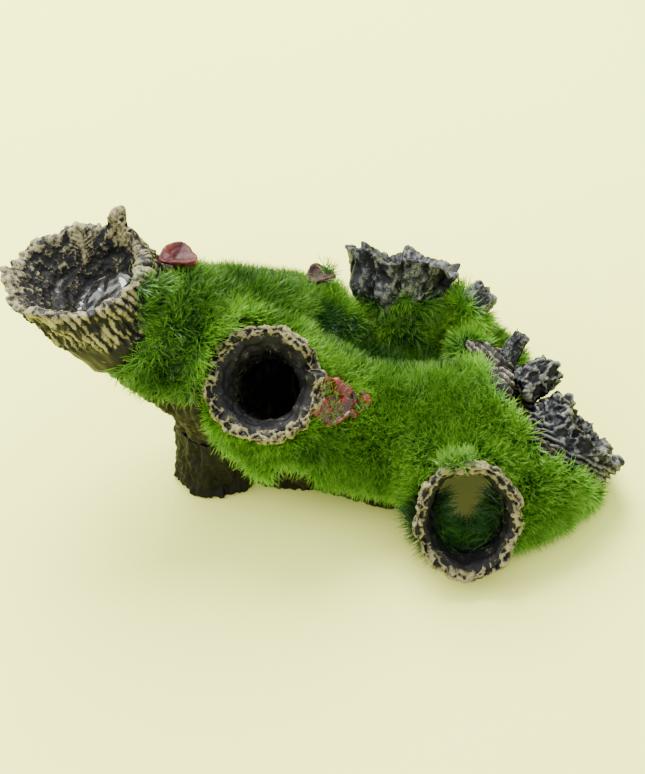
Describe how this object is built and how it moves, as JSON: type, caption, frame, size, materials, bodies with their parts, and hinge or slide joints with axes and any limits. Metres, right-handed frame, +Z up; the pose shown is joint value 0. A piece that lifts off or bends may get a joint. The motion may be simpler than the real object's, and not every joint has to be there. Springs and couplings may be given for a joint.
{
  "type": "resin cave ornament",
  "caption": "Moss-covered hollow log cave ornament with an open log mouth, knot-hole tunnels, broken branch stubs and bracket fungi, for an aquarium or pond floor.",
  "frame": {"origin": "centre of the bounding box in X and Y, on the plane that the ornament rests on", "axes": "+Z up from the floor, +X along the log towards its low broken end, -Y towards the front with the two knot holes"},
  "size_m": [0.1754, 0.1029, 0.0785],
  "materials": {
    "bark_dark_resin": "matte",
    "bark_cream_resin": "matte",
    "bark_grey_resin": "matte",
    "fungus_red_resin": "gloss",
    "fungus_brown_resin": "satin",
    "adhesive": "satin",
    "moss_flock": "matte"
  },
  "bodies": {
    "root": {"trunk_shell": "bark_dark_resin", "root_foot": "bark_dark_resin", "left_log_mouth": "bark_cream_resin", "centre_knot": "bark_cream_resin", "front_knot": "bark_cream_resin", "rear_stump": "bark_grey_resin", "rear_side_branch": "bark_grey_resin", "right_log_end": "bark_grey_resin", "side_stub_upper": "bark_grey_resin", "side_stub_lower": "bark_grey_resin", "centre_bracket_fungus": "fungus_red_resin", "mouth_bracket_fungus": "fungus_brown_resin", "rear_bracket_fungus": "fungus_brown_resin", "glue_left_log_mouth": "adhesive", "glue_centre_knot": "adhesive", "glue_front_knot": "adhesive", "glue_rear_stump": "adhesive", "glue_right_log_end": "adhesive", "glue_root_foot": "adhesive", "moss_left_arm": "moss_flock", "moss_crown": "moss_flock", "moss_front_slope": "moss_flock", "moss_valley": "moss_flock", "moss_rear_ridge": "moss_flock", "moss_right_slope": "moss_flock", "moss_right_saddle": "moss_flock", "moss_branch_tuft": "moss_flock", "moss_leg_side": "moss_flock", "moss_front_knot_floor": "moss_flock"}
  },
  "joints": []
}
